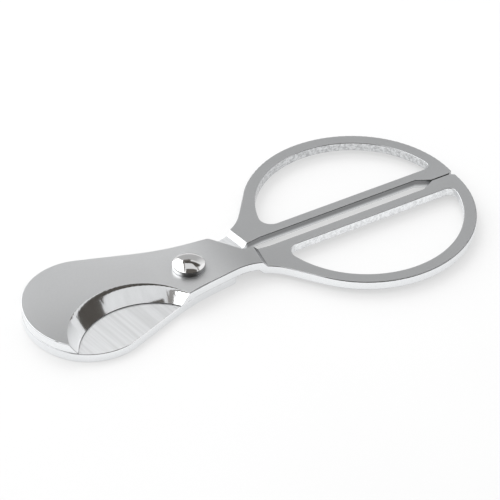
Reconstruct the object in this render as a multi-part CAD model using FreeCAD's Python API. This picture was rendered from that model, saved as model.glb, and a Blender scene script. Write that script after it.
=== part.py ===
import FreeCAD, Part
import math
import os

# Flat cigar scissors, closed, lying on the flat of the lower blade.
# Millimetres. +Z is up, +X runs from the blades to the finger loops, and +Y is the lower lever's loop side.
# Both levers are the same blank: the upper one is the lower one turned over about the X axis, which is the
# line where their stop pads meet. The pivot stands a little off that line, so each lever has its own bore.
# Every piece is drawn with X = 0 at the pivot and Z = 0 at the lower blade's underside. Then it is moved
# along X, so that the finished origin is under the middle of the whole tool.

# Sheet and joggle
SHEET = 3.0                 # thickness of both levers
BLADE_GAP = 0.06            # between the two blades' flat faces
EDGE_BREAK = 0.25           # rounding along the rims of both faces
JOGGLE_RISE = (SHEET + BLADE_GAP) / 2
JOGGLE_SLOPE = 45.0         # degrees, steepness of the step in the neck
JOGGLE_START = 21.1         # X where the upper face of the step begins, on the axis
JOGGLE_SKEW = 0.16          # how far the step leans back to the pivot, per mm of Y
BEND_RADIUS = 0.6

# Blade
NOSE_CENTRE_X = -31.1
NOSE_RADIUS = 23.2
CHEEK_RADIUS = 18.9
BLADE_HALF_WIDTH = 20.9
BACK_ANGLE = 20.2           # degrees, fall of the back behind the cheek
BACK_BLEND = 76.0           # radius where the back runs out into the waist
WAIST_HALF_WIDTH = 10.2     # beside the pivot, on the shoulder's side
NECK_HALF_WIDTH = 10.8      # beside the pivot, on the neck's side
WAIST_ANGLE = 7.5           # degrees

# Cutting arc, the same for both blades
EDGE_RADIUS = 22.2
EDGE_CENTRE_X = -26.9
EDGE_CENTRE_Y = 26.75
EDGE_LAND = 0.3             # height of the plain cutting edge under the grind
GRIND_RUN = 6.9             # how far the grind reaches back over the blade

# Neck
SHOULDER_X = 12.1           # rear corner of the blade
SHOULDER_RADIUS = 1.6
THROAT = (18.7, 1.4)        # where the shoulder's slope meets the inner edge of the neck
BAR_START_X = 27.6
NECK_RADIUS = 16.0
NECK_TANGENT = 141.8        # degrees round the loop where the neck's outer edge joins it

# Finger loop
LOOP_CENTRE = (62.0, 2.7)
LOOP_RADIUS = 35.4
RIM_WIDTH = 4.05
BAR_NEAR_Y = 2.6            # bar's edge beside the axis
BAR_FAR_Y = 6.0             # bar's edge inside the loop
LOOP_NECK_ROUND = 4.0
LOOP_HEEL_ROUND = 2.5

# Stop pad at the rear of the loop
PAD_GAP = 0.15              # each pad stands this far from the axis when closed
PAD_RAMP_X = 84.6
PAD_START_X = 89.2
PAD_END_X = 96.0
PAD_TAIL_Y = 1.2

# Pivot
PIVOT_Y = -0.75             # the pivot's axis, beside the line where the stop pads meet
BARREL_RADIUS = 3.0
RUNNING_CLEARANCE = 0.05    # radial, between the barrel and both bores
HEAD_RADIUS = 5.15          # the post's head, seen from above
HEAD_SIDE = 1.45            # height of its upright side
DOME_RISE = 1.6             # of the shallow dome above the side
HEAD_RIM_ROUND = 0.3        # where the dome meets the side
HEAD_FOOT_BREAK = 0.15
SCREW_HEAD_RADIUS = 4.0
SCREW_HEAD_HEIGHT = 1.0
SCREW_RADIUS = 1.75
SCREW_LENGTH = 4.6
SCREW_RECESS = 0.1          # the screw's head lies this far inside the lower face
COUNTERBORE_CLEARANCE = 0.1
THREAD_CLEARANCE = 0.02
THREAD_SPARE = 0.8          # depth of the tapped hole past the screw's end
SLOT_WIDTH = 1.1
SLOT_DEPTH = 0.55
SCREW_EDGE_BREAK = 0.1
SEAT_GAP = 0.02             # between faces that rest on each other

# Worked out from the sizes above
TOOL_MIDDLE_X = (LOOP_CENTRE[0] + LOOP_RADIUS + NOSE_CENTRE_X - NOSE_RADIUS) / 2
BLADES_TOP = 2 * SHEET + BLADE_GAP
HEAD_SEAT = BLADES_TOP + SEAT_GAP
SCREW_SEAT = SCREW_RECESS + SCREW_HEAD_HEIGHT + SEAT_GAP

Z_UP = FreeCAD.Vector(0, 0, 1)


def at(x, y, z=0.0):
    return FreeCAD.Vector(x, y, z)


def polar(centre, radius, degrees):
    angle = math.radians(degrees)
    return at(centre[0] + radius * math.cos(angle), centre[1] + radius * math.sin(angle))


def arc(centre, radius, start, end):
    """Arc edge about centre, from start to end in degrees."""
    middle = polar(centre, radius, (start + end) / 2)
    return Part.Arc(polar(centre, radius, start), middle, polar(centre, radius, end)).toShape()


def line(start, end):
    return Part.LineSegment(start, end).toShape()


def rounded_path(start, corners, end):
    """Straight runs from start to end by way of corners, each a point and the radius that rounds it."""
    edges = []
    here = start
    points = [start] + [point for point, radius in corners] + [end]
    for index, (corner, radius) in enumerate(corners):
        if radius == 0:
            edges.append(line(here, corner))
            here = corner
            continue
        back = (points[index] - corner).normalize()
        ahead = (points[index + 2] - corner).normalize()
        half_angle = back.getAngle(ahead) / 2
        setback = radius / math.tan(half_angle)
        inward = (back + ahead).normalize()
        enter = corner + back * setback
        leave = corner + ahead * setback
        middle = corner + inward * (radius / math.sin(half_angle) - radius)
        edges.append(line(here, enter))
        edges.append(Part.Arc(enter, middle, leave).toShape())
        here = leave
    edges.append(line(here, end))
    return edges


def crossing(point_a, degrees_a, point_b, degrees_b):
    """Where two lines cross, each given by a point and a direction."""
    way_a = polar((0, 0), 1, degrees_a)
    way_b = polar((0, 0), 1, degrees_b)
    offset = point_b - point_a
    along = (offset.x * way_b.y - offset.y * way_b.x) / (way_a.x * way_b.y - way_a.y * way_b.x)
    return point_a + way_a * along


def mirrored(point):
    return at(point.x, -point.y)


def blank_outline():
    """Outline of the flat blank, with the finger loop on the +Y side, counter-clockwise from the nose."""
    cheek_y = BLADE_HALF_WIDTH - CHEEK_RADIUS
    radius_change = NOSE_RADIUS - CHEEK_RADIUS
    nose_half_angle = math.degrees(math.asin(cheek_y / radius_change))
    cheek_x = NOSE_CENTRE_X - math.sqrt(radius_change ** 2 - cheek_y ** 2)
    back_from = 90 - BACK_ANGLE
    back_start = polar((cheek_x, cheek_y), CHEEK_RADIUS, back_from)
    waist = at(0, WAIST_HALF_WIDTH)
    shoulder_blend = crossing(back_start, -BACK_ANGLE, waist, -WAIST_ANGLE)
    shoulder = crossing(waist, -WAIST_ANGLE, at(SHOULDER_X, 0), 90)

    neck = at(0, NECK_HALF_WIDTH)
    neck_blend = crossing(back_start, -BACK_ANGLE, neck, -WAIST_ANGLE)
    neck_joins = polar(LOOP_CENTRE, LOOP_RADIUS, NECK_TANGENT)
    neck_corner = crossing(neck, -WAIST_ANGLE, neck_joins, NECK_TANGENT - 90)
    tail_angle = math.degrees(math.asin((PAD_TAIL_Y - LOOP_CENTRE[1]) / LOOP_RADIUS))

    edges = [arc((NOSE_CENTRE_X, 0), NOSE_RADIUS, 180 - nose_half_angle, 180 + nose_half_angle)]
    edges.append(arc((cheek_x, -cheek_y), CHEEK_RADIUS, 180 + nose_half_angle, 360 - back_from))
    edges += rounded_path(
        mirrored(back_start),
        [
            (mirrored(shoulder_blend), BACK_BLEND),
            (mirrored(shoulder), SHOULDER_RADIUS),
            (at(*THROAT), 0),
            (at(BAR_START_X, BAR_NEAR_Y), 0),
            (at(PAD_RAMP_X, BAR_NEAR_Y), 0),
            (at(PAD_START_X, PAD_GAP), 0),
            (at(PAD_END_X, PAD_GAP), 0),
        ],
        polar(LOOP_CENTRE, LOOP_RADIUS, tail_angle),
    )
    edges.append(arc(LOOP_CENTRE, LOOP_RADIUS, tail_angle, NECK_TANGENT))
    edges += rounded_path(neck_joins, [(neck_corner, NECK_RADIUS), (neck_blend, BACK_BLEND)], back_start)
    edges.append(arc((cheek_x, cheek_y), CHEEK_RADIUS, back_from, 180 - nose_half_angle))
    return Part.Wire(edges)


def finger_opening(height):
    """Tool for the D-shaped finger opening: a disc cut off by the bar's edge, with rounded corners."""
    radius = LOOP_RADIUS - RIM_WIDTH
    chord_angle = math.degrees(math.asin((BAR_FAR_Y - LOOP_CENTRE[1]) / radius))
    heel_end = polar(LOOP_CENTRE, radius, chord_angle)
    neck_end = polar(LOOP_CENTRE, radius, 180 - chord_angle)
    outline = Part.Wire([arc(LOOP_CENTRE, radius, chord_angle, 180 - chord_angle), line(neck_end, heel_end)])
    tool = Part.Face(outline).extrude(Z_UP * height)
    for corner, rounding in ((neck_end, LOOP_NECK_ROUND), (heel_end, LOOP_HEEL_ROUND)):
        upright = [edge for edge in tool.Edges if is_upright_at(edge, corner)]
        tool = tool.makeFillet(rounding, upright)
    return tool


def is_upright_at(edge, point):
    ends = [vertex.Point for vertex in edge.Vertexes]
    return len(ends) == 2 and all(math.hypot(end.x - point.x, end.y - point.y) < 0.01 for end in ends)


def joggled_slab():
    """The sheet seen from the side: flat blade, step up, flat loop. It reaches past the blank all round."""
    reach = LOOP_CENTRE[0] + LOOP_RADIUS + SHEET
    nose_x = -reach
    step_run = JOGGLE_RISE / math.tan(math.radians(JOGGLE_SLOPE))
    under_shift = SHEET * math.tan(math.radians(JOGGLE_SLOPE / 2))
    top = [(JOGGLE_START, SHEET), (JOGGLE_START + step_run, SHEET + JOGGLE_RISE)]
    bottom = [(x + under_shift, z - SHEET) for x, z in top]
    profile = [(nose_x, 0.0)] + bottom + [(reach, JOGGLE_RISE), (reach, JOGGLE_RISE + SHEET)]
    profile += top[::-1] + [(nose_x, SHEET)]
    side = -reach
    points = [at(x - JOGGLE_SKEW * side, side, z) for x, z in profile]
    sweep = at(-JOGGLE_SKEW * 2 * reach, 2 * reach)
    slab = Part.Face(Part.makePolygon(points + points[:1])).extrude(sweep)
    bends = [edge for edge in slab.Edges if is_bend(edge, nose_x, reach)]
    return slab.makeFillet(BEND_RADIUS, bends)


def is_bend(edge, low_x, high_x):
    """True for the four creases across the neck."""
    if edge.Length < high_x:
        return False
    middle = edge.valueAt((edge.FirstParameter + edge.LastParameter) / 2)
    along = edge.tangentAt(edge.FirstParameter)
    return abs(along.y) > abs(along.x) and low_x + SHEET < middle.x < high_x - SHEET


def grind_tool():
    """Removes the cutting arc: upright for the height of the land, then slanting back over the blade."""
    centre = at(EDGE_CENTRE_X, EDGE_CENTRE_Y, SHEET)
    below = SHEET - EDGE_LAND
    land = Part.makeCylinder(EDGE_RADIUS, 2 * SHEET, centre - Z_UP * EDGE_LAND)
    disc = Part.Face(Part.Wire(Part.makeCircle(EDGE_RADIUS, centre - Z_UP * EDGE_LAND)))
    slant = at(0, -GRIND_RUN, -below)
    overshoot = 1 + EDGE_LAND / below
    return land.fuse(disc.extrude(slant * overshoot))


def rims(lever):
    """The edges round both faces, where a flat or sloping face meets an upright wall."""
    found = []
    for edge in lever.Edges:
        faces = lever.ancestorsOfType(edge, Part.Face)
        upright = [abs(face_normal(face, edge).z) < 0.01 for face in faces]
        if sorted(upright) == [False, True]:
            found.append(edge)
    return found


def face_normal(face, edge):
    middle = edge.valueAt((edge.FirstParameter + edge.LastParameter) / 2)
    across, along = face.Surface.parameter(middle)
    return face.normalAt(across, along)


def lever_blank():
    """One lever as the lower one lies: grind underneath, finger loop at +Y, before it is bored."""
    height = SHEET + JOGGLE_RISE
    plate = Part.Face(blank_outline()).extrude(Z_UP * height)
    plate = plate.cut(finger_opening(height))
    lever = plate.common(joggled_slab())
    return lever.makeFillet(EDGE_BREAK, rims(lever)).cut(grind_tool())


def bored(lever):
    bore = Part.makeCylinder(BARREL_RADIUS + RUNNING_CLEARANCE, 4 * SHEET, at(0, PIVOT_Y, -SHEET))
    return lever.cut(bore)


def lower_lever():
    counterbore = Part.makeCylinder(
        SCREW_HEAD_RADIUS + COUNTERBORE_CLEARANCE,
        SCREW_HEAD_HEIGHT + SCREW_RECESS + SEAT_GAP,
        at(0, PIVOT_Y),
    )
    return bored(lever_blank()).cut(counterbore)


def upper_lever():
    lever = lever_blank()
    lever.rotate(at(0, 0), at(1, 0), 180)
    lever.translate(Z_UP * BLADES_TOP)
    return bored(lever)


def pivot_post():
    """Shallow domed head and plain barrel in one, tapped from below for the screw."""
    dome_sphere = (HEAD_RADIUS ** 2 + DOME_RISE ** 2) / (2 * DOME_RISE)
    rim_top = HEAD_SEAT + HEAD_SIDE
    crown = at(0, 0, rim_top + DOME_RISE)
    dome_centre = crown - Z_UP * dome_sphere
    half_way = math.asin(HEAD_RADIUS / dome_sphere) / 2
    on_dome = dome_centre + at(math.sin(half_way), 0, math.cos(half_way)) * dome_sphere
    hole_radius = SCREW_RADIUS + THREAD_CLEARANCE
    hole_end = SCREW_SEAT + SCREW_LENGTH + THREAD_SPARE
    profile = [
        crown,
        at(0, 0, hole_end),
        at(hole_radius, 0, hole_end),
        at(hole_radius, 0, SCREW_SEAT),
        at(BARREL_RADIUS, 0, SCREW_SEAT),
        at(BARREL_RADIUS, 0, HEAD_SEAT),
        at(HEAD_RADIUS - HEAD_FOOT_BREAK, 0, HEAD_SEAT),
        at(HEAD_RADIUS, 0, HEAD_SEAT + HEAD_FOOT_BREAK),
        at(HEAD_RADIUS, 0, rim_top),
    ]
    edges = [line(start, end) for start, end in zip(profile, profile[1:])]
    edges.append(Part.Arc(profile[-1], on_dome, crown).toShape())
    post = Part.Face(Part.Wire(edges)).revolve(at(0, 0), Z_UP, 360)
    rim = [edge for edge in post.Edges if is_ring_at(edge, rim_top)]
    return post.makeFillet(HEAD_RIM_ROUND, rim).translated(at(0, PIVOT_Y))


def is_ring_at(edge, height):
    return edge.BoundBox.ZLength < SEAT_GAP and abs(edge.BoundBox.ZMin - height) < SEAT_GAP


def pivot_screw():
    """Flat slotted screw that holds the post from below, sunk into the lower blade."""
    head = Part.makeCylinder(SCREW_HEAD_RADIUS, SCREW_HEAD_HEIGHT, at(0, 0, SCREW_RECESS))
    lower_rim = [edge for edge in head.Edges if edge.BoundBox.ZMax < SCREW_RECESS + SEAT_GAP]
    head = head.makeFillet(SCREW_EDGE_BREAK, lower_rim)
    shank = Part.makeCylinder(SCREW_RADIUS, SCREW_LENGTH, at(0, 0, SCREW_RECESS + SCREW_HEAD_HEIGHT))
    slot = Part.makeBox(
        2 * SCREW_HEAD_RADIUS + SLOT_WIDTH,
        SLOT_WIDTH,
        SLOT_DEPTH,
        at(-SCREW_HEAD_RADIUS - SLOT_WIDTH / 2, -SLOT_WIDTH / 2, SCREW_RECESS),
    )
    return head.fuse(shank).removeSplitter().cut(slot).translated(at(0, PIVOT_Y))


PARTS = {
    "lower_lever": lower_lever,
    "upper_lever": upper_lever,
    "pivot_post": pivot_post,
    "pivot_screw": pivot_screw,
}

os.makedirs("parts", exist_ok=True)
for node, build in PARTS.items():
    shape = build()
    shape.translate(at(-TOOL_MIDDLE_X, 0))
    if len(shape.Solids) != 1 or not shape.isValid():
        raise RuntimeError(node + " isn't one valid solid")
    shape.Solids[0].exportStep("parts/" + node + ".step")
    print(node, "volume", round(shape.Volume, 1), "mm3", shape.BoundBox)
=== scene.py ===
import math

import bpy
from mathutils import Matrix, Vector

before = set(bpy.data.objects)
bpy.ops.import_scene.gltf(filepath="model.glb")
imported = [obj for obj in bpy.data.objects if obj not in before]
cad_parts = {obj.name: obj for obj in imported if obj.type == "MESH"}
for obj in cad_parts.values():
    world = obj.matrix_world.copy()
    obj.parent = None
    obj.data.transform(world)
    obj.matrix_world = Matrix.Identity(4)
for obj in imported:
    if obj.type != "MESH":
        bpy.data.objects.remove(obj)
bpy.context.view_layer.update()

# Flat cigar scissors in stainless steel, closed on a white table.
# Metres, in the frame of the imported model. Shader lengths and places are in millimetres.
# Places on a lever are the upper lever's. The lower lever is the same, turned over.
# A pair named LIMITS gives the value where a mask starts and the value where it is full.

MM = 0.001

# Camera
CAMERA_AZIMUTH = -30.55
CAMERA_ELEVATION = 38.46
CAMERA_DISTANCE = 0.9094
CAMERA_AIM = Vector((0.0007, 0.0002, 0.003))
CAMERA_LENS = 211.7
CAMERA_CLIP_START = 0.01

# Shape of the levers
TURN_OVER = (1, -1, -1)
BLADES_TOP = 6.06
BLADE_JOINT = 3.06          # underside of the upper blade
PIVOT = (-21.55, -0.75)
GRIND_CENTRE = (-48.45, -26.75)
GRIND_RADIUS = 22.2
GRIND_FOOT = 3.36           # height where the plain cutting edge ends and the grind begins
GRIND_RISE = 2.7            # height of the grind, foot to top face
GRIND_RUN = 6.9             # how far the grind runs back over its whole rise
GRIND_LEAN = GRIND_RUN / GRIND_RISE
LOOP_CENTRE = (40.45, -2.7)
OPENING_RADIUS = 31.35


def toward(azimuth, elevation):
    """Unit vector from the tool towards a bearing: 0 is straight behind, 90 to the right, 180 in front."""
    a, e = math.radians(azimuth), math.radians(elevation)
    return Vector((math.sin(a) * math.cos(e), math.cos(a) * math.cos(e), math.sin(e)))


def grey(value, warmth=0.0):
    return (value * (1 + warmth), value, value * (1 - warmth), 1.0)


# ---------------------------------------------------------------- node graphs


class Graph:
    """Short calls for building a material's nodes."""

    def __init__(self, name):
        self.material = bpy.data.materials.new(name)
        self.material.use_nodes = True
        self.tree = self.material.node_tree
        self.tree.nodes.clear()

    def put(self, socket, value):
        if isinstance(value, bpy.types.NodeSocket):
            self.tree.links.new(value, socket)
        else:
            socket.default_value = value

    def node(self, kind, inputs=(), **settings):
        made = self.tree.nodes.new("ShaderNode" + kind)
        for name, value in settings.items():
            setattr(made, name, value)
        for key, value in dict(inputs).items():
            self.put(made.inputs[key], value)
        return made

    def math(self, operation, first, second=0.0, clamp=False):
        made = self.node("Math", {0: first, 1: second}, operation=operation, use_clamp=clamp)
        return made.outputs[0]

    def plus(self, first, second):
        return self.math("ADD", first, second)

    def minus(self, first, second):
        return self.math("SUBTRACT", first, second)

    def times(self, product, *others):
        for other in others:
            product = self.math("MULTIPLY", product, other)
        return product

    def larger(self, first, second):
        return self.math("MAXIMUM", first, second)

    def apart(self, first, second):
        return self.math("ABSOLUTE", self.minus(first, second))

    def length(self, x, y):
        return self.math("SQRT", self.plus(self.times(x, x), self.times(y, y)))

    def vector(self, operation, first, second):
        made = self.node("VectorMath", {0: first, 1: second}, operation=operation)
        return made.outputs[0]

    def split(self, vector):
        return self.node("SeparateXYZ", {0: vector}).outputs

    def step(self, value, low, high):
        """Rises smoothly from 0 to 1 as value goes from low to high. Falls if low is above high."""
        rising = low < high
        made = self.node("MapRange", interpolation_type="SMOOTHSTEP")
        self.put(made.inputs["Value"], value)
        self.put(made.inputs["From Min"], low if rising else high)
        self.put(made.inputs["From Max"], high if rising else low)
        self.put(made.inputs["To Min"], 0.0 if rising else 1.0)
        self.put(made.inputs["To Max"], 1.0 if rising else 0.0)
        return made.outputs["Result"]

    def between(self, factor, low, high):
        """A number that goes from low to high as factor goes from 0 to 1."""
        return self.node("Mix", {0: factor, 2: low, 3: high}, data_type="FLOAT").outputs[0]

    def tint(self, factor, low, high):
        """A colour that goes from low to high as factor goes from 0 to 1."""
        return self.node("Mix", {0: factor, 6: low, 7: high}, data_type="RGBA").outputs[2]

    def noise(self, place, per_mm, detail=2.0, roughness=0.5):
        inputs = {"Vector": place, "Scale": per_mm, "Detail": detail, "Roughness": roughness}
        return self.node("TexNoise", inputs).outputs["Fac"]

    def place_mm(self):
        return self.vector("MULTIPLY", self.node("TexCoord").outputs["Object"], (1 / MM,) * 3)

    def facing(self):
        return self.node("TexCoord").outputs["Normal"]

    def bump(self, height, depth_mm, normal=None):
        made = self.node("Bump", {"Strength": 1.0, "Distance": depth_mm * MM, "Height": height})
        if normal is not None:
            self.put(made.inputs["Normal"], normal)
        return made.outputs["Normal"]

    def steel(self, tone, roughness, normal, coolness=0.0, metallic=1.0):
        """Grey steel, a little blue when coolness is above 0."""
        red, blue = self.times(tone, 1 - coolness), self.times(tone, 1 + coolness)
        colour = self.node("CombineColor", {"Red": red, "Green": tone, "Blue": blue}).outputs[0]
        inputs = {"Metallic": metallic, "Base Color": colour, "Roughness": roughness, "Normal": normal}
        return self.finish(self.node("BsdfPrincipled", inputs))

    def finish(self, shader):
        output = self.node("OutputMaterial")
        self.tree.links.new(shader.outputs[0], output.inputs["Surface"])
        return self.material


# ---------------------------------------------------------------- levers: where each finish lies

# By how flat a face lies: 1 for a level face, 0 for an upright one
WALL_LIMITS = (0.3, 0.1)
RIM_LOW_LIMITS = (0.1, 0.3)
RIM_HIGH_LIMITS = (0.97, 0.9)
GRIND_FLAT_LIMITS = (0.985, 0.96)
GAP_RIM_LIMITS = (0.9, 0.8)
# By the way a face points, along one axis
INSIDE_AIM_LIMITS = (-0.8, -0.95)
FRONT_AIM_LIMITS = (-0.2, -0.35)
# painted shade: a dark line on the step in the neck, where it faces the finger loop and up
STEP_SHADE_X_LIMITS = (0.3, 0.5)    # the step in the neck faces the finger loop and up
STEP_SHADE_Z_LIMITS = (0.4, 0.6)
# By place, in millimetres
GRIND_OFF_LIMITS = (0.4, 0.25)      # distance from the grind's own surface
GRIND_START_LIMITS = (-0.02, 0.02)  # height above the grind's foot
GRIND_FACING_LIMITS = (0.0, -2.0)   # the grind faces the middle of its arc
JOINT_LIMITS = (0.12, 0.04)         # distance from the joint between the blades
HANDLE_LIMITS = (0.0, 1.0)          # along the tool, from the neck on
BAR_LIMITS = (-4.0, -4.5)           # across the bar between the gap and the finger opening
OPENING_LIMITS = (OPENING_RADIUS + 0.8, OPENING_RADIUS + 0.4)
OUTER_RIM_LIMITS = (OPENING_RADIUS + 1.0, OPENING_RADIUS + 1.5)
NECK_LIMITS = (8.0, 6.0)
BEFORE_JOGGLE_LIMITS = (-3.0, -5.0)
PAST_JOGGLE_LIMITS = (10.0, 14.0)
# where the painted shade on the edges facing the camera's side begins, along the tool
EDGE_SHADE_START_LIMITS = (-38.0, -30.0)


def lever_masks(g, spot, aim):
    """Each part of a lever's surface as a number, 1 on it and 0 off it."""
    on = {}
    level = g.math("ABSOLUTE", aim["Z"])

    rise = g.minus(spot["Z"], GRIND_FOOT)
    centre_y = g.plus(g.times(g.larger(rise, 0.0), GRIND_LEAN), GRIND_CENTRE[1])
    from_x = g.minus(spot["X"], GRIND_CENTRE[0])
    from_y = g.minus(spot["Y"], centre_y)
    off_surface = g.apart(g.length(from_x, from_y), GRIND_RADIUS)
    on_arc = g.times(g.step(off_surface, *GRIND_OFF_LIMITS), g.step(level, *GRIND_FLAT_LIMITS))
    facing_out = g.plus(g.times(aim["X"], from_x), g.times(aim["Y"], from_y))
    above_foot = g.step(rise, *GRIND_START_LIMITS)
    on["land"] = g.times(on_arc, g.minus(1.0, above_foot))
    on["grind"] = g.times(on_arc, above_foot, g.step(facing_out, *GRIND_FACING_LIMITS))

    off_arc = g.minus(1.0, on_arc)
    on["wall"] = g.times(g.step(level, *WALL_LIMITS), off_arc)
    on["rim"] = g.times(g.step(level, *RIM_LOW_LIMITS), g.step(level, *RIM_HIGH_LIMITS), off_arc)
    at_joint = g.step(g.apart(spot["Z"], BLADE_JOINT), *JOINT_LIMITS)
    on["inside"] = g.times(at_joint, g.step(aim["Z"], *INSIDE_AIM_LIMITS))

    on_handle = g.step(spot["X"], *HANDLE_LIMITS)
    loop_x = g.minus(spot["X"], LOOP_CENTRE[0])
    loop_y = g.minus(spot["Y"], LOOP_CENTRE[1])
    loop_reach = g.length(loop_x, loop_y)
    before_bar = g.step(spot["Y"], *BAR_LIMITS)
    on["opening"] = g.times(g.step(loop_reach, *OPENING_LIMITS), before_bar)
    on["gap"] = g.times(on_handle, g.minus(1.0, before_bar))

    # Painted shade on the step in the neck
    step_shade_aim = g.times(g.step(aim["X"], *STEP_SHADE_X_LIMITS), g.step(aim["Z"], *STEP_SHADE_Z_LIMITS))
    on["press_mark"] = g.times(on_handle, step_shade_aim)

    # Painted shade: dark lines on the rounded top edges that face the camera's side, on the head and round
    # the outside of the loops, and on those beside the gap
    outside = g.larger(g.step(spot["X"], *NECK_LIMITS), g.step(loop_reach, *OUTER_RIM_LIMITS))
    off_joggle = g.larger(g.step(spot["X"], *BEFORE_JOGGLE_LIMITS), g.step(spot["X"], *PAST_JOGGLE_LIMITS))
    front_edge_shade = g.times(on["rim"], g.step(aim["Y"], *FRONT_AIM_LIMITS), outside, off_joggle)
    front_edge_shade = g.times(front_edge_shade, g.step(spot["X"], *EDGE_SHADE_START_LIMITS))
    gap_edge_shade = g.times(on["rim"], on["gap"], g.step(level, *GAP_RIM_LIMITS))
    on["dark_rim"] = g.larger(front_edge_shade, gap_edge_shade)
    return on


# ---------------------------------------------------------------- levers: the steel itself

BRUSH_ANGLE = 8.6           # degrees between the grinding marks and straight across the blade
BRUSH_STRETCH = (1, 0.03, 1)        # draws the noise out along the marks
NOISE = {                   # features per millimetre, detail and, if not the usual, roughness
    "grain": (9.0, 3.0, 0.6),
    "mottle": (1.3, 3.0, 0.7),
    "cloud": (0.045, 2.0),
    "speckle": (1.1, 3.0, 0.65),
    "broad_lines": (0.9, 3.0, 0.6),
    "fine_lines": (5.0, 3.0, 0.6),
    "hollows": (0.35, 2.0),
}

# Tones from black at 0 to white at 1. A pair is blended by place or by noise.
# Painted light: the flat faces lighter towards the pivot and to the back
HEAD_FRONT_PAINTED_LIGHT_TONES = (0.43, 0.76)     # at the nose, then at the pivot
HEAD_BACK_PAINTED_LIGHT_TONES = (0.58, 0.75)
HANDLE_PAINTED_LIGHT_TONES = (0.475, 0.52)        # front, then back
SATIN_SPREAD = (0.96, 1.04)
WALL_TONES = (0.88, 0.95)
# Painted light and shade: one steel, lighter inside the upper lever's opening and darker inside the lower
# lever's
UPPER_TORN_PAINTED_LIGHT_TONES = (0.80, 0.98)
LOWER_TORN_PAINTED_SHADE_TONES = (0.48, 0.74)
GROUND_TONES = (0.54, 0.63)
GROUND_SPREAD = (0.985, 1.01)
POLISHED_TONES = (0.60, 0.72)
# Painted shade: beside the gap, on the step in the neck, on the edges facing the camera's side, on the
# plain cutting edge and along the joint
GAP_WALL_PAINTED_SHADE_TONE = 0.26
PAINTED_STEP_SHADE_TONE = 0.26
PAINTED_EDGE_SHADE_TONE = 0.16
LAND_PAINTED_SHADE_TONE = 0.06
CRACK_SHADE = 0.5
STEEL_COOLNESS = 0.015
INSIDE_METALLIC = 0.45

SATIN_ROUGHNESS = (0.36, 0.42)
RIM_ROUGHNESS = 0.12
WALL_ROUGHNESS = 0.2
INSIDE_ROUGHNESS = (0.26, 0.32)
GRIND_ROUGHNESS = (0.05, 0.1)
LAND_ROUGHNESS = 0.5

# Where the tones and the painted light and shade change, in millimetres. The gap's walls get painted shade
# at the upper edge of either lever.
TO_PIVOT_LIMITS = (-75.0, -25.0)
TO_BACK_LIMITS = (-22.0, 16.0)
HANDLE_TO_BACK_LIMITS = (-10.0, 10.0)
HEAD_LIMITS = (-2.0, -20.0)
UPPER_GAP_SHADE_LIMITS = (1.5, 3.3)
LOWER_GAP_SHADE_LIMITS = (4.6, 2.8)
CRACK_LIMITS = (0.3, 0.05)          # distance from the joint between the blades
CRACK_END_LIMITS = (-8.0, -10.0)
# Where they change by noise
TORN_LIMITS = (0.35, 0.62)
GROUND_LIMITS = (0.3, 0.7)

# Bump, in millimetres
INWARD = -1.0               # for a height that is given as a depth
FINE_BUMP = 0.0012          # depth of the satin grain
TORN_BUMP = 3.0             # times the grain, for the walls inside the openings
INSIDE_BUMP = 0.6           # times the grain, for the ground inner face
GRIND_CROWN = 0.6           # how far the crowned grind falls away from a straight slant at its top
GRIND_ROLL = 0.6            # depth below the top face over which polishing has rolled the corner off
ROLL_DROP = 0.11            # how far the rolled corner falls away
ROLL_START_LIMITS = (-67.0, -62.0)
HOLLOW_BUMP = 0.005         # depth of the faint hollow marks


def satin_grain_and_painted_light(g, place, spot, grain):
    """Flat faces: an even grain, with painted light: lighter towards the pivot and, at the nose and the
    loops, to the back.
    """
    to_pivot = g.step(spot["X"], *TO_PIVOT_LIMITS)
    head_front = g.between(to_pivot, *HEAD_FRONT_PAINTED_LIGHT_TONES)
    head_back = g.between(to_pivot, *HEAD_BACK_PAINTED_LIGHT_TONES)
    head = g.between(g.step(spot["Y"], *TO_BACK_LIMITS), head_front, head_back)
    handle = g.between(g.step(spot["Y"], *HANDLE_TO_BACK_LIMITS), *HANDLE_PAINTED_LIGHT_TONES)
    satin = g.between(g.step(spot["X"], *HEAD_LIMITS), handle, head)
    for pattern in (g.noise(place, *NOISE["cloud"]), grain, g.noise(place, *NOISE["mottle"])):
        satin = g.times(satin, g.between(pattern, *SATIN_SPREAD))
    return satin


def wall_tone(g, spot, on, speckle, turned_over):
    """Blanked side walls: bright, speckled in the openings, with painted shade beside the gap and at the
    joint, the lower lever's openings painted darker than the upper's.
    """
    torn_tones = LOWER_TORN_PAINTED_SHADE_TONES if turned_over else UPPER_TORN_PAINTED_LIGHT_TONES
    gap_shade_limits = LOWER_GAP_SHADE_LIMITS if turned_over else UPPER_GAP_SHADE_LIMITS
    torn = g.between(g.step(speckle, *TORN_LIMITS), *torn_tones)
    wall = g.between(on["opening"], g.between(speckle, *WALL_TONES), torn)
    # painted shade: the walls beside the gap dark towards their upper edge
    wall = g.between(g.times(on["gap"], g.step(spot["Z"], *gap_shade_limits)), wall, GAP_WALL_PAINTED_SHADE_TONE)
    # painted shade along the joint between the blades, on the head only
    crack = g.step(g.apart(spot["Z"], BLADE_JOINT), *CRACK_LIMITS)
    in_crack = g.times(crack, g.step(spot["X"], *CRACK_END_LIMITS))
    return g.times(wall, g.between(in_crack, 1.0, CRACK_SHADE))


def grind_depth(g, spot, hollows):
    """Depth of the grind below a straight slant: its crown, rolled upper corner and faint hollow marks."""
    below_top = g.minus(BLADES_TOP, spot["Z"])
    rolled = g.math("SUBTRACT", 1.0, g.math("DIVIDE", below_top, GRIND_ROLL), clamp=True)
    rolled = g.times(rolled, rolled, g.step(spot["X"], *ROLL_START_LIMITS))
    climb = g.math("DIVIDE", g.minus(spot["Z"], GRIND_FOOT), GRIND_RISE, clamp=True)
    crown = g.times(climb, climb, GRIND_CROWN)
    return g.plus(g.plus(crown, g.times(rolled, ROLL_DROP)), g.times(hollows, HOLLOW_BUMP))


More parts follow.
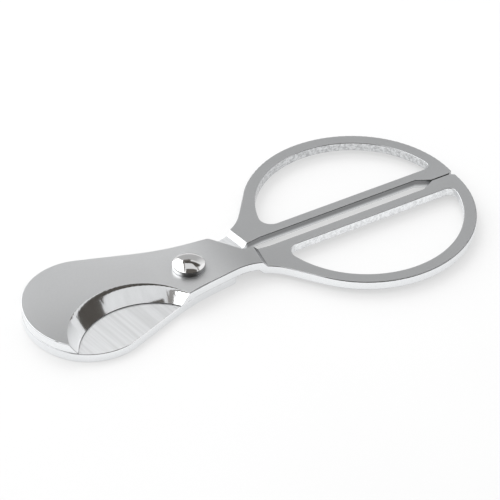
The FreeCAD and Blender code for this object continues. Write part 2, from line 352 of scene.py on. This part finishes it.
def lever_steel(name, turned_over):
    """Satin faces, blanked side walls, a polished grind and cross-ground faces between the blades, with
    painted light and shade.
    """
    g = Graph(name)
    place, facing = g.place_mm(), g.facing()
    if turned_over:
        place = g.vector("ADD", g.vector("MULTIPLY", place, TURN_OVER), (0, 0, BLADES_TOP))
        facing = g.vector("MULTIPLY", facing, TURN_OVER)
    spot = g.split(place)
    on = lever_masks(g, spot, g.split(facing))

    # grinding marks run across the blade, a little off square
    turn = {"Vector": place, "Angle": math.radians(BRUSH_ANGLE)}
    along_marks = g.node("VectorRotate", turn, rotation_type="Z_AXIS").outputs[0]
    lines = g.vector("MULTIPLY", along_marks, BRUSH_STRETCH)
    grain = g.noise(place, *NOISE["grain"])
    speckle = g.noise(place, *NOISE["speckle"])
    broad_lines = g.noise(lines, *NOISE["broad_lines"])
    fine_lines = g.noise(lines, *NOISE["fine_lines"])
    hollows = g.noise(lines, *NOISE["hollows"])

    ground = g.between(g.step(broad_lines, *GROUND_LIMITS), *GROUND_TONES)
    ground = g.times(ground, g.between(fine_lines, *GROUND_SPREAD))
    # Painted light and shade: satin lighter and darker by place, a dark step in the neck and dark edges
    # facing the camera's side
    tone = g.between(on["press_mark"], satin_grain_and_painted_light(g, place, spot, grain), PAINTED_STEP_SHADE_TONE)
    tone = g.between(on["dark_rim"], tone, PAINTED_EDGE_SHADE_TONE)
    tone = g.between(on["wall"], tone, wall_tone(g, spot, on, speckle, turned_over))
    tone = g.between(on["inside"], tone, ground)
    tone = g.between(on["grind"], tone, g.between(hollows, *POLISHED_TONES))
    # painted shade on the plain cutting edge
    tone = g.between(on["land"], tone, LAND_PAINTED_SHADE_TONE)

    roughness = g.between(on["rim"], g.between(grain, *SATIN_ROUGHNESS), RIM_ROUGHNESS)
    roughness = g.between(on["wall"], roughness, WALL_ROUGHNESS)
    roughness = g.between(on["inside"], roughness, g.between(broad_lines, *INSIDE_ROUGHNESS))
    roughness = g.between(on["grind"], roughness, g.between(hollows, *GRIND_ROUGHNESS))
    roughness = g.between(on["land"], roughness, LAND_ROUGHNESS)

    height = g.times(g.minus(1.0, on["grind"]), grain)
    height = g.between(on["wall"], height, g.times(speckle, g.between(on["opening"], 1.0, TORN_BUMP)))
    height = g.between(on["inside"], height, g.times(fine_lines, INSIDE_BUMP))
    normal = g.bump(height, FINE_BUMP)
    normal = g.bump(g.times(grind_depth(g, spot, hollows), on["grind"]), INWARD, normal)
    return g.steel(tone, roughness, normal, STEEL_COOLNESS, g.between(on["inside"], 1.0, INSIDE_METALLIC))


# ---------------------------------------------------------------- pivot

HEAD_NOISE = (3.0, 4.0, 0.6)
HEAD_TONES = (0.60, 0.68)
HEAD_SIDE_PAINTED_SHADE = 0.3
HEAD_ROUGHNESS = (0.06, 0.1)
HEAD_RINGS = 60.0           # radians per millimetre
HEAD_RING_BUMP = 0.2        # rings against scuffs
HEAD_BUMP = 0.0003
# Where the painted shade lies on the head: its side, except where it faces left, and the front of its
# rounded edge
HEAD_FOOT_LIMITS = (6.0, 6.2)       # height at which the head comes out of the blade
SIDE_AIM_Z_LIMITS = (0.75, 0.4)
SIDE_AIM_X_LIMITS = (-0.9, -0.75)
EDGE_HIGH_LIMITS = (0.80, 0.74)
EDGE_LOW_LIMITS = (0.1, 0.3)
EDGE_AIM_Y_LIMITS = (0.2, 0.0)

SCREW_NOISE = (2.0, 3.0)
SCREW_TONES = (0.50, 0.62)
SCREW_ROUGHNESS = (0.22, 0.34)
SCREW_RINGS = 45.0          # radians per millimetre
SCREW_RING_WANDER = 4.0
SCREW_RING_TONE = 0.25      # rings against the noise
SCREW_BUMP = 0.002


def place_from_pivot(g):
    return g.vector("SUBTRACT", g.place_mm(), (*PIVOT, 0))


def mirror_steel(name):
    """The domed head, polished like a mirror, with the barely seen rings of the buffing wheel and painted
    shade on its side and the front of its rounded edge.
    """
    g = Graph(name)
    place = place_from_pivot(g)
    scuff = g.noise(place, *HEAD_NOISE)
    spot, aim = g.split(place), g.split(g.facing())
    rings = g.math("SINE", g.times(g.length(spot["X"], spot["Y"]), HEAD_RINGS))
    on_side = g.times(g.step(spot["Z"], *HEAD_FOOT_LIMITS), g.step(aim["Z"], *SIDE_AIM_Z_LIMITS))
    on_side = g.times(on_side, g.step(aim["X"], *SIDE_AIM_X_LIMITS))
    on_edge = g.times(g.step(aim["Z"], *EDGE_HIGH_LIMITS), g.step(aim["Z"], *EDGE_LOW_LIMITS))
    on_edge = g.times(on_edge, g.step(aim["Y"], *EDGE_AIM_Y_LIMITS))
    # painted shade on the side and the front of the rounded edge
    shade = g.between(g.larger(on_side, on_edge), 1.0, HEAD_SIDE_PAINTED_SHADE)
    tone = g.times(g.between(scuff, *HEAD_TONES), shade)
    normal = g.bump(g.plus(g.times(rings, HEAD_RING_BUMP), scuff), HEAD_BUMP)
    return g.steel(tone, g.between(scuff, *HEAD_ROUGHNESS), normal)


def screw_steel(name):
    """A turned screw: rings round its axis on the flat of the head."""
    g = Graph(name)
    place = place_from_pivot(g)
    spot = g.split(place)
    wander = g.noise(place, *SCREW_NOISE)
    turns = g.times(g.length(spot["X"], spot["Y"]), SCREW_RINGS)
    rings = g.math("SINE", g.plus(turns, g.times(wander, SCREW_RING_WANDER)))
    tone = g.between(g.plus(g.times(rings, SCREW_RING_TONE), wander), *SCREW_TONES)
    normal = g.bump(g.plus(rings, wander), SCREW_BUMP)
    return g.steel(tone, g.between(wander, *SCREW_ROUGHNESS), normal)


def dress(node, material):
    """Gives a CAD node its finish."""
    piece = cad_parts[node]
    if not piece.material_slots:
        piece.data.materials.append(None)
    for material_slot in piece.material_slots:
        material_slot.material = material


dress("upper_lever", lever_steel("upper_lever_steel", False))
dress("lower_lever", lever_steel("lower_lever_steel", True))
dress("pivot_post", mirror_steel("pivot_post_steel"))
dress("pivot_screw", screw_steel("pivot_screw_steel"))


# ---------------------------------------------------------------- table and surround

FLOOR_SIZE = 6.0
FLOOR_DROP = 0.02 * MM
FLOOR_TONES = (0.29, 0.31)
FLOOR_PATCHES_PER_MM = 0.01
FLOOR_GLOW = 0.51
FLOOR_ROUGHNESS = 0.9
WORLD_STRENGTH = 1.3
HORIZON_TONE = 1.0
OVERHEAD_TONE = 0.78


def flat_sheet(name, width, depth, material):
    mesh = bpy.data.meshes.new(name)
    x, y = width / 2, depth / 2
    mesh.from_pydata([(-x, -y, 0), (x, -y, 0), (x, y, 0), (-x, y, 0)], [], [(0, 1, 2, 3)])
    mesh.materials.append(material)
    sheet = bpy.data.objects.new(name, mesh)
    bpy.context.collection.objects.link(sheet)
    return sheet


def table_white(name):
    """A matt white top that glows a little, so that shadows on it stay light."""
    g = Graph(name)
    low, high = (grey(tone) for tone in FLOOR_TONES)
    shader = g.node("BsdfPrincipled", {
        "Base Color": g.tint(g.noise(g.place_mm(), FLOOR_PATCHES_PER_MM), low, high),
        "Roughness": FLOOR_ROUGHNESS,
        "Specular IOR Level": 0.0,
        "Emission Color": grey(1.0),
        "Emission Strength": FLOOR_GLOW,
    })
    return g.finish(shader)


def studio_world():
    """An even white surround, brightest at the horizon."""
    world = bpy.data.worlds.new("studio")
    world.use_nodes = True
    tree = world.node_tree
    coordinates = tree.nodes.new("ShaderNodeTexCoord")
    split = tree.nodes.new("ShaderNodeSeparateXYZ")
    ramp = tree.nodes.new("ShaderNodeValToRGB")
    tree.links.new(coordinates.outputs["Generated"], split.inputs[0])
    tree.links.new(split.outputs["Z"], ramp.inputs["Fac"])
    tree.links.new(ramp.outputs["Color"], tree.nodes["Background"].inputs["Color"])
    tree.nodes["Background"].inputs["Strength"].default_value = WORLD_STRENGTH
    ramp.color_ramp.elements[0].color = grey(HORIZON_TONE)
    ramp.color_ramp.elements[1].color = grey(OVERHEAD_TONE)
    bpy.context.scene.world = world


floor = flat_sheet("floor", FLOOR_SIZE, FLOOR_SIZE, table_white("white_table"))
floor.location.z = -FLOOR_DROP
studio_world()
bpy.context.scene.view_settings.view_transform = "Standard"


# ---------------------------------------------------------------- light

PIVOT_POINT = Vector((PIVOT[0], PIVOT[1], BLADES_TOP)) * MM
OVERHEAD = 90               # degrees of elevation
DARK_CARD_WARMTH = 0.12
WARMTH_LOSS = 0.2           # warmth lost as a card's tone goes from 0 to 1
CARD_RISE_LIMITS = (0.6, 1.0)


def over(side, behind):
    """Unit vector to a place in the sky, in degrees from overhead: to the camera's right, and beyond it."""
    turn = math.degrees(math.atan2(side, behind)) - CAMERA_AZIMUTH
    return toward(turn, OVERHEAD - math.hypot(side, behind))


RIGHT = over(90, 0)


def hang(thing, direction, distance, along):
    """Puts a light or card in a direction from the pivot, facing it, with its width along a line."""
    outward = direction.normalized()
    side = (along - outward * along.dot(outward)).normalized()
    turn = Matrix((side, outward.cross(side), outward)).transposed()
    thing.matrix_world = Matrix.Translation(PIVOT_POINT + outward * distance) @ turn.to_4x4()


def softbox(name, direction, distance, width, depth, radiance, in_reflections=True):
    light = bpy.data.lights.new(name, "AREA")
    light.shape = "RECTANGLE"
    light.size = width
    light.size_y = depth
    light.energy = radiance * math.pi * width * depth
    box = bpy.data.objects.new(name, light)
    bpy.context.collection.objects.link(box)
    box.visible_camera = False
    box.visible_glossy = in_reflections
    hang(box, direction, distance, RIGHT)


def glow(name, tone, right_tone):
    """A glow that goes from tone to right_tone over a card's right part. Dark glows are a little warm."""
    g = Graph(name)
    across = g.split(g.node("TexCoord").outputs["Generated"])["X"]
    warmth = max(0.0, DARK_CARD_WARMTH - WARMTH_LOSS * tone)
    colour = g.tint(g.step(across, *CARD_RISE_LIMITS), grey(tone, warmth), grey(right_tone, warmth))
    return g.finish(g.node("Emission", {"Color": colour}))


def card(name, direction, distance, width, depth, tone, right_tone=None, along=RIGHT):
    """A card that only shiny steel sees, as it sees the rest of the studio."""
    sheet = flat_sheet(name, width, depth, glow(name, tone, tone if right_tone is None else right_tone))
    hang(sheet, direction, distance, along)
    sheet.visible_camera = False
    sheet.visible_diffuse = False
    sheet.visible_shadow = False
    sheet.visible_transmission = False


softbox("window", over(-42, 24), distance=1.1, width=1.1, depth=1.9, radiance=1.6)
softbox("key", over(-8, 42), distance=1.0, width=0.6, depth=0.6, radiance=2.6, in_reflections=False)

# Bright parts of the room
card("right_wall", over(64, 25), distance=1.2, width=1.1, depth=1.5, tone=1.35)
card("backdrop", over(10, 69), distance=1.1, width=1.2, depth=0.94, tone=0.62, right_tone=1.2)

# The dark bar that the dome and the grind mirror, with its lip and the corner where it turns down
bar_left, bar_right = over(-18, 34.5), over(33, 27)
bar_line = bar_right - bar_left
lip_line = over(33, 29.5) - over(-18, 36)
corner_line = over(27, 17) - over(13, 30)
card("ceiling_bar", bar_left + bar_right, distance=0.8, width=0.78, depth=0.17, tone=0.1, along=bar_line)
card("bar_lip", over(-7, 43.5), distance=0.15, width=0.056, depth=0.024, tone=0.2, along=lip_line)
card("bar_corner", over(20.5, 24), distance=0.8, width=0.30, depth=0.15, tone=0.1, along=corner_line)

# Frames to the right of the bar and beside the window
near_end, far_end = over(35, 4), over(24, 22)
frame_line = far_end - near_end
card("right_frame", near_end + far_end, distance=0.8, width=0.26, depth=0.07, tone=0.4, along=frame_line)
card("window_frame", over(-15.5, 14), distance=0.35, width=0.028, depth=0.3, tone=0.35)

# Dark parts of the room, above the tool and on the camera's side
card("overhead", over(10, -22.5), distance=0.45, width=0.33, depth=0.42, tone=0.14)
card("camera_side", toward(191.5, 30), distance=0.8, width=1.84, depth=0.7, tone=0.05)


# ---------------------------------------------------------------- camera

camera = bpy.data.objects.new("camera", bpy.data.cameras.new("camera"))
bpy.context.collection.objects.link(camera)
back = toward(180 - CAMERA_AZIMUTH, CAMERA_ELEVATION)
camera.location = CAMERA_AIM + back * CAMERA_DISTANCE
camera.rotation_mode = "QUATERNION"
camera.rotation_quaternion = back.to_track_quat("Z", "Y")
camera.data.lens = CAMERA_LENS
camera.data.clip_start = CAMERA_CLIP_START
bpy.context.scene.camera = camera
